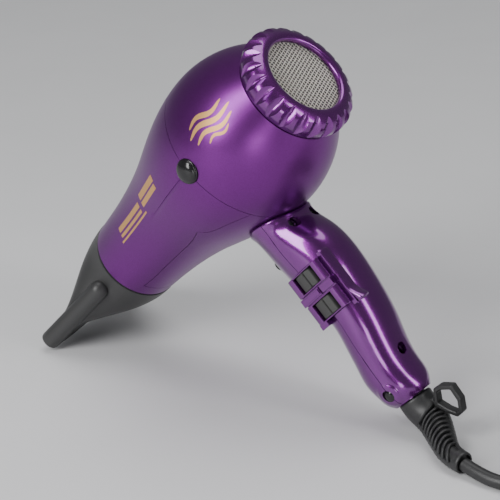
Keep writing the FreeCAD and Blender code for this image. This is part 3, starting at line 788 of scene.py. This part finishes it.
def nozzle_section(x, width, height, power, panel=0.0):
    """A ring between a circle and a rounded slot; the wide faces carry a let-in panel."""
    points = []
    for angle in round_angles(144):
        c, s = rounded(angle, power)
        y = width * c
        z = height * s
        if panel:
            share = min(max((-13.0 - x) / 45.0, 0.0), 1.0)
            edge = 25.0 * math.sqrt(share)
            sunk = smooth_step(0, 1.0, edge - abs(y)) * smooth_step(0, 1.5, x + 60.5)
            z -= math.copysign(panel * sunk, z) * min(1.0, abs(s) * 1.6)
        points.append(Vector((x, y, z)))
    return points


def make_nozzle():
    """The concentrator: a wall that flattens from the round collar to a slot, and two side lobes."""
    rows = [nozzle_section(-0.9, 25.6, 25.6, 2.0)]
    for x in [-1.3] + spaced(-2.0, LIP_X + 0.8, 74):
        rows.append(nozzle_section(x, NOZZLE_WIDTH(x), NOZZLE_HEIGHT(x), NOZZLE_POWER(x), PANEL_DEPTH))
    rows.append(nozzle_section(LIP_X, 41.0, 5.4, 4.5))
    rows.append(nozzle_section(LIP_X, 40.2, MOUTH_HALF + 0.2, 4.5))
    for x in spaced(LIP_X + 0.6, -11.0, 34):
        share = smooth_step(-58, -50, x)
        height = MOUTH_HALF * (1 - share) + max(NOZZLE_HEIGHT(x) - NOZZLE_WALL, MOUTH_HALF) * share
        rows.append(nozzle_section(x, NOZZLE_WIDTH(x) - NOZZLE_WALL, height, NOZZLE_POWER(x)))
    rows.append(nozzle_section(-10.4, COLLAR_R, COLLAR_R, 2.0))
    rows.append(nozzle_section(-0.9, COLLAR_R, COLLAR_R, 2.0))
    make_piece("nozzle_moulded", [closed_grid(rows), nozzle_lobe(-1), nozzle_lobe(1)],
               NOZZLE_BLACK, body="nozzle", nodes=["nozzle"],
               place=STAND @ Matrix.Rotation(NOZZLE_TURN, 4, "X"), crease=38)


def nozzle_lobe(side):
    """A finger along each edge of the slot, round at its root and eased at its tip."""
    tip = Vector((LIP_X, side * 39.0, 0))
    root = Vector((-14, side * 28.0, 0))
    axis = (root - tip).normalized()
    across = axis.cross(AXIS_Z)
    length = (root - tip).length
    stations = [(0.25, LOBE_R - 1.3), (0.45, LOBE_R - 0.75), (0.95, LOBE_R - 0.25), (1.7, LOBE_R)]
    stations += [(along, LOBE_R) for along in spaced(6, length, 14)]
    stations += [(length + LOBE_R * math.sin(a), LOBE_R * math.cos(a))
                 for a in spaced(0.15, math.pi / 2 - 0.02, 12)]
    return capped_rings([ring_points(tip + axis * along, across, AXIS_Z, radius, 48, 2.15)
                         for along, radius in stations])


# ---- handle ----

# height, centre, reach to the front, reach to the rear and half width
HANDLE_SECTIONS = [
    (-34, 102.8, 16.4, 14.1, 17.6), (-42, 103.1, 16.9, 14.6, 17.4), (-50, 104.2, 17.2, 14.7, 17.2),
    (-60, 106.7, 19.2, 16.9, 17.4), (-75, 109.3, 20.4, 18.1, 17.2), (-90, 110.3, 18.8, 16.5, 16.9),
    (-105, 110.0, 16.6, 14.5, 16.5), (-120, 106.9, 16.3, 14.2, 16.2),
    (-130, 104.0, 16.0, 13.9, 15.6), (-140, 101.8, 15.9, 13.9, 15.1),
    (-150, 102.4, 15.2, 13.3, 13.9), (-155, 102.8, 14.1, 12.5, 12.3),
    (-158, 102.8, 11.4, 11.4, 10.2)]
HANDLE_X, HANDLE_FRONT, HANDLE_REAR, HANDLE_WIDTH = column_splines(HANDLE_SECTIONS)
HANDLE_PARTING = natural_spline([
    (-34, 106.6), (-46, 105.8), (-53, 105.4), (-62, 105.6), (-72, 106.5), (-88, 107.2),
    (-102, 107.6), (-111, 106.9), (-123, 105.3), (-134, 104.0), (-148, 103.0), (-160, 102.5)])
HANDLE_WALL = 2.3
FOOT_Z = -158.0
TOP_ROUND = 1.3
LIP_LIFT = 0.9
SIDE_SCREW = (101.5, -150.5)
SCREW_PAD_R = 6.3
# across, height and the head's top
SCREWS = [(-8.4, -51.0, 116.0), (8.4, -51.0, 116.0), (0.0, -135.0, 112.6)]
SOCKET_R = 3.1
SHOT_Z = -61.0
SHOT_R = 3.3
# the switch block: its face and root across, its windows, boxes, bridge and whole length
FACE_Y = -18.8
ROOT_Y = -10
WINDOW_X = (101.9, 117.2)
WINDOWS = {"speed": (-83.8, -74.3), "heat": (-100.7, -90.9)}
ROCKER_PIVOT = (108.5, -16.2)
BOX_X = (96.7, 117.6)
BOX_Z = (-101.6, -73.3)
BRIDGE_Z = (-89.5, -85.1)
BLOCK_Z = (-103.5, -71.5)
BLOCK_REAR_X = 125.0


def rear_power(z):
    """How square the rear of the section is; it turns round at the foot."""
    return 2.0 + 0.5 * smooth_step(-158, -148, z)


def handle_point(z, angle, lift=0.0):
    """A point on the handle's section: round in front, squarer behind."""
    behind = math.cos(angle) >= 0
    c, s = rounded(angle, rear_power(z) if behind else 2.0)
    reach = HANDLE_REAR(z) if behind else HANDLE_FRONT(z)
    return Vector((HANDLE_X(z) + (reach + lift) * c, (HANDLE_WIDTH(z) + lift) * s, z))


def handle_angle(z, share, front):
    """Angle of a column between the two parting lines, at a height."""
    offset = HANDLE_PARTING(z) - HANDLE_X(z)
    if offset < 0:
        parting = math.acos(offset / HANDLE_FRONT(z))
    else:
        parting = math.acos((offset / HANDLE_REAR(z)) ** (rear_power(z) / 2))
    gap = 0.12 / HANDLE_WIDTH(z)
    if front:
        return parting + gap + (TURN - 2 * parting - 2 * gap) * share
    return -parting + gap + (2 * parting - 2 * gap) * share


def handle_top(share, front):
    """The height at which a column of the handle meets the barrel."""
    low = -62.0
    high = -34.0
    halvings = 30
    for _ in range(halvings):
        z = (low + high) / 2
        point = handle_point(z, handle_angle(z, share, front))
        if math.hypot(point.y, point.z) > BODY_RADIUS(point.x) + 0.12:
            low = z
        else:
            high = z
    return low


def handle_lift(point, below):
    """How far the surface stands out: a rounded, slightly flared top, and pads round the side screws."""
    lift = LIP_LIFT * math.exp(-((below - TOP_ROUND) / 3.0) ** 2)
    if below < TOP_ROUND:
        lift -= TOP_ROUND - math.sqrt(TOP_ROUND ** 2 - (TOP_ROUND - below) ** 2)
    away = math.hypot(point.x - SIDE_SCREW[0], point.z - SIDE_SCREW[1])
    return lift + 0.55 * smooth_step(SCREW_PAD_R + 0.5, SCREW_PAD_R - 0.4, away)


def handle_half(front):
    """One moulded half: outside and inside walls, trimmed to the barrel above and turned in below."""
    columns = 81
    foot_x = 102.95
    outer = []
    inner = []
    top_steps = [0.0, 0.08, 0.25, 0.5, 0.85, TOP_ROUND]
    tops = [handle_top(j / (columns - 1), front) for j in range(columns)]
    levels = 112
    for i in range(len(top_steps) + levels):
        for j in range(columns):
            share = j / (columns - 1)
            start = tops[j] - TOP_ROUND
            z = tops[j] - top_steps[i] if i < len(top_steps) else (
                start + (FOOT_Z - start) * (i - len(top_steps) + 1) / levels)
            angle = handle_angle(z, share, front)
            plain = handle_point(z, angle)
            outer.append(handle_point(z, angle, handle_lift(plain, tops[j] - z)))
            within = max(z, FOOT_Z + 2.0)
            inner.append(handle_point(within, handle_angle(within, share, front), -HANDLE_WALL))
    for radius, z in ((10.6, -158.15), (9.7, -157.9)):
        for j in range(columns):
            angle = handle_angle(FOOT_Z, j / (columns - 1), front)
            offset = Vector((math.cos(angle), math.sin(angle) * 0.98, 0)) * radius
            outer.append(Vector((foot_x, 0, z)) + offset)
            inner.append(Vector((foot_x, 0, FOOT_Z + 2.0)) + offset * 0.9)
    return walled(outer, inner, grid_faces(len(outer) // columns, columns))


def handle_back_x(y, z):
    """Where the handle's rear surface lies over a point."""
    power = rear_power(z)
    reach = max(1 - abs(y / HANDLE_WIDTH(z)) ** power, 0.0)
    return HANDLE_X(z) + HANDLE_REAR(z) * reach ** (1 / power)


def screw_head(y, z, top):
    """A domed head with a cross recess."""
    profile = [(-2.2, 2.75), (-0.8, 2.75)]
    profile += [(-0.8 + 0.8 * math.sin(a), 2.75 * math.cos(a) ** 0.8) for a in spaced(0.15, 1.5, 8)]
    return turned(profile, (top, y, z), AXIS_X, 40)


def cross_slot(y, z, top):
    """The cross-shaped recess of a screw's head."""
    corners = [(1.5, 0.4), (0.4, 0.4), (0.4, 1.5), (-0.4, 1.5), (-0.4, 0.4), (-1.5, 0.4)]
    corners += [(-a, -b) for a, b in corners]
    return capped_rings([[Vector((x, y + a, z + b)) for a, b in corners] for x in (top - 1.1, top + 1)])


def make_screws():
    """The three handle screws, each deep in its recess."""
    make_piece("handle_screws", [screw_head(*screw) for screw in SCREWS], DARK_STEEL,
               nodes=["handle_screw_left", "handle_screw_right", "handle_screw_heel"],
               cutters=[cross_slot(*screw) for screw in SCREWS])


def screw_socket(y, z, top):
    """A tube from below a screw's head up to the handle's surface."""
    floor = top - 1.4
    under = top - 2.6
    rim = SOCKET_R + 0.9
    rings = []
    for radius, level, sunk in ((0.02, floor, 0), (SOCKET_R, floor, 0), (SOCKET_R, None, 0.1),
                                (rim, None, 0.3), (rim, under, 0), (0.02, under, 0)):
        ring = []
        for angle in round_angles(48):
            py = y + radius * math.cos(angle)
            pz = z + radius * math.sin(angle)
            ring.append(Vector((level or handle_back_x(py, pz) - sunk, py, pz)))
        rings.append(ring)
    return capped_rings(rings)


def make_handle():
    """The two halves, cut for the switch block, the button and the screws, and the screw sockets."""
    fit = 0.12
    boxes = block((BOX_X[0] - fit, 123.2), (-30, -9.9), (BOX_Z[0] - fit, BOX_Z[1] + fit))
    channel = block((121.9, BLOCK_REAR_X + fit), (-31, -9.8), (BLOCK_Z[0] - 0.5, BLOCK_Z[1] + fit))
    holes = [turned([(109, SOCKET_R + 0.15), (130, SOCKET_R + 0.15)], (0, y, z), AXIS_X, 48)
             for y, z, _ in SCREWS]
    screws = [turned([(-20, 3.35), (20, 3.35)], (SIDE_SCREW[0], side * 26, SIDE_SCREW[1]), AXIS_Y, 40)
              for side in (-1, 1)]
    shot = turned([(80, SHOT_R + 0.2), (95, SHOT_R + 0.2)], (0, 0, SHOT_Z), AXIS_X, 48)
    make_piece("handle_front_half", [handle_half(True)], GLOSS,
               nodes=["handle_front"], cutters=[boxes, shot] + screws, bevel=0.14, crease=45)
    make_piece("handle_rear_half", [handle_half(False)], GLOSS,
               nodes=["handle_rear"], cutters=[boxes, channel] + holes + screws, bevel=0.14, crease=45)
    make_piece("screw_sockets", [screw_socket(*screw) for screw in SCREWS], GLOSS,
               crease=40)


# ---- switches ----

def box_walls(low, high):
    """Rounded front rim, thin walls above and below, and a rolled rear panel round one window."""
    front = BOX_X[0]
    window_front, window_back = WINDOW_X
    rim = [(front, ROOT_Y), (front, FACE_Y + 1.9), (front + 0.5, FACE_Y + 0.7),
           (front + 1.4, FACE_Y + 0.1), (front + 2.4, FACE_Y - 0.1),
           (window_front - 0.3, FACE_Y - 0.1), (window_front, FACE_Y + 0.3), (window_front, ROOT_Y)]
    panel = [(window_back, ROOT_Y), (window_back, FACE_Y + 0.2), (window_back + 0.4, FACE_Y - 0.1)]
    panel += [(window_back + 1.7 + 3.8 * math.sin(turn), FACE_Y - 0.1 + 3.0 * (1 - math.cos(turn)))
              for turn in spaced(0, math.pi / 2, 8)]
    panel.append((window_back + 5.5, ROOT_Y))
    wall_x = (window_front - 0.6, window_back + 0.6)
    return [along_z(rim, low - 0.85, high + 0.85), along_z(panel, low - 0.85, high + 0.85),
            block(wall_x, (FACE_Y, ROOT_Y), (high, high + 0.75)),
            block(wall_x, (FACE_Y, ROOT_Y), (low - 0.75, low))]


def make_bezel():
    """The switch block: two window boxes, the stepped bridge between them, and a foot tab."""
    front, back = BOX_X
    shapes = []
    for low, high in WINDOWS.values():
        shapes += box_walls(low, high)
    low, high = BRIDGE_Z
    middle = 112.7
    shapes += [
        block((front + 0.5, back + 4.9), (FACE_Y + 1.8, ROOT_Y), (low - 0.9, high + 0.7)),
        block((front + 0.3, middle - 0.2), (FACE_Y - 0.2, -11), (low, high)),
        block((front + 1.2, middle - 0.8), (FACE_Y - 0.75, -11), (low + 0.75, high - 0.75)),
        block((middle + 0.2, back + 5.2), (FACE_Y + 0.25, -11), (low + 0.15, high - 0.15)),
        block((front + 0.8, front + 6.8), (FACE_Y - 0.25, -12.5), (BOX_Z[0] - 2.5, BOX_Z[0] + 0.6)),
    ]
    make_piece("switch_block", shapes, GLOSS, nodes=["switch_bezel"], bevel=0.26,
               segments=3, crease=32)
    floor = block((122.0, BLOCK_REAR_X), (FACE_Y + 3.7, -9.9), (BLOCK_Z[0] - 0.4, BLOCK_Z[1]))
    make_piece("switch_block_channel", [floor], GLOSS, bevel=0.3, segments=3, crease=32)
    make_rib()


def make_rib():
    """The raised wall along the block's rear edge; its lower end sweeps out to a point."""
    rings = []
    for z in spaced(-71.3, -104.2, 70):
        flare = smooth_step(-94.0, -104.6, z)
        ends = min(smooth_step(-71.2, -72.6, z), smooth_step(-104.3, -103.4, z))
        half = (0.75 + 1.5 * flare ** 1.5) * (0.6 + 0.4 * ends)
        tall = 3.6 * (0.85 + 0.15 * ends)
        centre = Vector((124.9 + half + 1.2 * flare, FACE_Y + 2.5 + tall, z))
        rings.append(ring_points(centre, AXIS_X, AXIS_Y, half, 32, 3.0, tall / half))
    make_piece("switch_block_rib", [capped_rings(rings)], GLOSS, crease=50)


ROCKER_PROFILE = [
    (-6.0, -0.9), (-5.7, -1.35), (0.1, -2.35), (0.5, -3.05), (1.3, -3.05), (1.7, -2.2),
    (5.0, -1.2), (5.4, -0.7), (5.7, 0.4), (5.0, 4.4), (-5.4, 4.4), (-6.3, 0.4)]


def make_rockers():
    """Two rocker caps: a long front face, a low ridge and a shorter rear face."""
    px, py = ROCKER_PIVOT
    outline = [(px + x, py + y) for x, y in ROCKER_PROFILE]
    for name, (low, high) in WINDOWS.items():
        pin = turned([(low + 0.2, 1.15), (high - 0.2, 1.15)], (px, py, 0), AXIS_Z, 24)
        make_piece(name + "_rocker_cap", [along_z(outline, low + 0.3, high - 0.3), pin],
                   ROCKER_BLACK, body=name + "_rocker", nodes=[name + "_rocker"],
                   bevel=0.2, segments=3, crease=12)


# ---- cold shot spring, cord boot and hanging ring ----

# centre and radius, from the handle's foot to the lead
BOOT_STATIONS = [
    ((101.2, -0.4, 13.8), 9.3), ((107.8, -1.9, 10.6), 8.9), ((115.3, -7.4, 8.4), 8.0),
    ((122.4, -14.4, 7.2), 7.0), ((130.7, -21.2, 6.1), 6.0), ((140.2, -24.6, 5.8), 5.6)]
BOOT_TOP = STAND @ Vector((103.0, 0, FOOT_Z)) * 1000
BOOT_TOP_R = 9.3
BOOT_FACE = math.radians(62)
BOOT_SLANT = 3.2


class Path:
    """A smooth line through points, with directions that stay level across it."""

    def __init__(self, points):
        spans = [0.0]
        for a, b in zip(points, points[1:]):
            spans.append(spans[-1] + (b - a).length)
        self.length = spans[-1]
        self.axes = column_splines([(s, *p) for s, p in zip(spans, points)])
        self.spans = spans

    def point(self, along):
        return Vector([axis(along) for axis in self.axes])

    def frame(self, along):
        """The point, the way across and the way up, at a distance along the line."""
        here = self.point(along)
        ahead = (self.point(along + 0.2) - self.point(along - 0.2)).normalized()
        across = ahead.cross(AXIS_Z).normalized()
        return here, across, across.cross(ahead).normalized()

    def place(self, along, angle, radius):
        here, across, up = self.frame(along)
        return here + across * (math.cos(angle) * radius) + up * (math.sin(angle) * radius)


def make_spring():
    """The wound wire spring that pushes the cold shot button out."""
    radius = 2.25
    wire = 0.27
    turns = 3.5
    seat_x = 94.9
    front = 91.3 + wire
    back = seat_x - wire
    steps = 120
    rings = []
    for m in range(steps + 1):
        share = m / steps
        angle = TURN * turns * share
        outward = Vector((0, math.cos(angle), math.sin(angle)))
        lead = smooth_step(0.12, 0.88, share)
        place = Vector((front + (back - front) * lead, 0, SHOT_Z)) + outward * radius
        rings.append(ring_points(place, outward, AXIS_X, wire, 10))
    piece = make_piece("cold_shot_spring_wound", [capped_rings(rings)], STEEL,
                       nodes=["cold_shot_spring"], crease=80)
    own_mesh(piece)


def make_boot():
    """Strain relief: a smooth collar, two side rails, slanting ribs between them, and a cup."""
    points = [BOOT_TOP] + [Vector(centre) for centre, _ in BOOT_STATIONS]
    path = Path(points)
    radius_of = natural_spline(list(zip(path.spans, [BOOT_TOP_R] + [r for _, r in BOOT_STATIONS])))
    collar_end = 15.5
    cup_start = path.length - 4.2
    count = 64

    def ring(along, radius):
        here, across, up = path.frame(along)
        return ring_points(here, across, up, radius, count)

    collar = [ring(-4.5, 6.4), ring(0.15, 6.4), ring(0.25, BOOT_TOP_R - 0.9),
              ring(0.6, BOOT_TOP_R - 0.35), ring(1.2, BOOT_TOP_R)]
    for share, sink in [(share, 0.0) for share in spaced(0.15, 0.94, 10)] + [(0.98, 0.3), (1.0, 1.2)]:
        along = collar_end * share
        collar.append(slanted_ring(path, along, radius_of(along) - sink, share))
    collar.append(slanted_ring(path, collar_end, 4.2, 1.0))
    end = path.length
    core = [ring(s, 4.6 - 0.5 * s / end) for s in spaced(collar_end - 1, end - 1.5, 30)]
    cup_radius = radius_of(cup_start)
    cup = [ring(cup_start, 4.2), ring(cup_start, cup_radius - 0.5), ring(cup_start + 0.4, cup_radius),
           ring(end - 1.3, 5.6), ring(end - 0.5, 5.65), ring(end, 5.3), ring(end, 4.5),
           ring(end - 2.5, 4.2), ring(end - 2.5, 0.05)]
    shapes = [capped_rings(collar), capped_rings(core), capped_rings(cup)]
    for side in (0.0, math.pi):
        facing = BOOT_FACE + math.pi / 2 + side
        shapes.append(boot_rail(path, radius_of, collar_end - 0.5, cup_start + 0.5, facing))
    pitch = 3.45
    ribs = int((cup_start - collar_end - 1.5) / pitch)
    for index in range(ribs):
        middle = collar_end + 2.4 + index * pitch
        for side in (0.0, math.pi):
            shapes.append(boot_rib(path, radius_of, middle, BOOT_FACE + side))
    make_piece("cord_boot_ribbed", shapes, RUBBER, nodes=["cord_boot"],
               place=IN_ROW, crease=50)


def slanted_ring(path, along, radius, share):
    """A ring of the collar, leaning more and more as the ribs do."""
    points = []
    count = 64
    for angle in round_angles(count):
        lean = BOOT_SLANT * share * math.sin(angle - BOOT_FACE) * math.cos(angle - BOOT_FACE) ** 2
        points.append(path.place(along - lean * 1.6, angle, radius))
    return points


def boot_rail(path, radius_of, start, end, middle):
    """A strip along the boot's side."""
    rings = []
    half = math.radians(27)
    for along in spaced(start, end, 40):
        radius = radius_of(along) * (1 + 0.02 * math.sin(along * 2.6))
        ring = [path.place(along, middle + angle, radius - 0.35 * (abs(angle) / half) ** 4)
                for angle in spaced(-half, half, 9)]
        ring += [path.place(along, middle + angle, 3.6) for angle in spaced(half, -half, 5)]
        rings.append(ring)
    return capped_rings(rings)


def boot_rib(path, radius_of, middle, facing):
    """One rib across the boot, slanted so that it runs in a slow S from rail to rail."""
    rings = []
    reach = math.radians(72)
    for angle in spaced(-reach, reach, 25):
        along = middle - BOOT_SLANT * math.sin(angle * 1.15)
        radius = radius_of(along) - 0.25
        ring = []
        for turn in round_angles(12):
            c, s = rounded(turn, 2 / 0.7)
            ring.append(path.place(along + 0.85 * c, facing + angle, radius - 0.95 + 0.95 * s))
        rings.append(ring)
    return capped_rings(rings)


LOOP_OUTER = [
    (118.1, -160.8), (122.6, -161.0), (129.0, -164.8), (128.4, -173.1), (124.3, -179.0),
    (119.8, -179.4), (115.6, -174.4), (112.2, -168.5)]
LOOP_INNER = [
    (118.5, -163.4), (121.8, -163.6), (126.6, -166.2), (126.1, -172.6), (123.2, -176.6),
    (120.8, -176.8), (117.9, -173.2), (115.2, -168.0)]
LOOP_NECK = [(105, -160.8), (113.6, -164.7), (113.2, -171.2), (106, -166)]


def make_loop():
    """The eight-sided hanging ring and its neck."""
    def ring(outline, y):
        return [Vector((x, y, z)) for x, z in outline]

    loop = closed_grid([ring(LOOP_OUTER, -2.6), ring(LOOP_OUTER, 2.6),
                        ring(LOOP_INNER, 2.6), ring(LOOP_INNER, -2.6)])
    neck = capped_rings([ring(LOOP_NECK, -2.1), ring(LOOP_NECK, 2.1)])
    make_piece("hanging_ring", [loop, neck], RUBBER, nodes=["hanging_loop"],
               bevel=0.8, segments=4, crease=24)


# ---- stage and light ----

def make_stage():
    """A wide, pale floor."""
    mesh = bpy.data.meshes.new("floor")
    reach = 6.0
    mesh.from_pydata([(-reach, -reach, 0), (reach, -reach, 0), (reach, reach, 0), (-reach, reach, 0)],
                     [], [(0, 1, 2, 3)])
    floor = link(bpy.data.objects.new("floor", mesh))
    material, tree, shader = node_material("floor")
    noise = texture(tree, "Noise", 14.0, Detail=3.0)
    blend_colours(tree, noise.outputs["Fac"], (0.7, 0.7, 0.71), (0.74, 0.74, 0.75),
                  shader.inputs["Base Color"])
    shader.inputs["Roughness"].default_value = 0.55
    mesh.materials.append(material)


def make_light(name, kind, energy, towards):
    """A light that shines in a direction."""
    data = bpy.data.lights.new(name, kind)
    data.energy = energy
    light = link(bpy.data.objects.new(name, data))
    light.rotation_mode = "QUATERNION"
    light.rotation_quaternion = Vector(towards).to_track_quat("-Z", "Y")
    return light


def area_light(name, position, target, width, height, power):
    """A rectangular soft light."""
    light = make_light(name, "AREA", power, Vector(target) - Vector(position))
    light.location = position
    light.data.shape = "RECTANGLE"
    light.data.size = width
    light.data.size_y = height


def make_lights():
    """A wide soft sky, a tall key on the left, a strip behind and a small low fill."""
    centre = (0, 0, 0.08)
    area_light("key", (-0.2, -1.05, 0.78), centre, 0.36, 1.1, 15.5)
    area_light("strip", (1.25, 0.12, 0.62), centre, 0.28, 1.0, 6.5)
    sky = make_light("sky", "SUN", 1.15, (0.1, -0.35, -1.27))
    sky.data.angle = math.radians(40)
    area_light("low", (0.55, -0.72, 0.13), (0.0, 0.0, 0.1), 0.22, 0.22, 0.9)
    world = bpy.data.worlds.new("studio")
    world.use_nodes = True
    backdrop = world.node_tree.nodes["Background"]
    backdrop.inputs["Color"].default_value = (0.75, 0.77, 0.8, 1)
    backdrop.inputs["Strength"].default_value = 0.22
    bpy.context.scene.world = world


make_barrel()
make_side_caps()
make_prints()
make_ring()
make_wire_mesh()
make_nozzle()
make_handle()
make_screws()
make_bezel()
make_rockers()
make_spring()
make_boot()
make_loop()
make_stage()
make_lights()
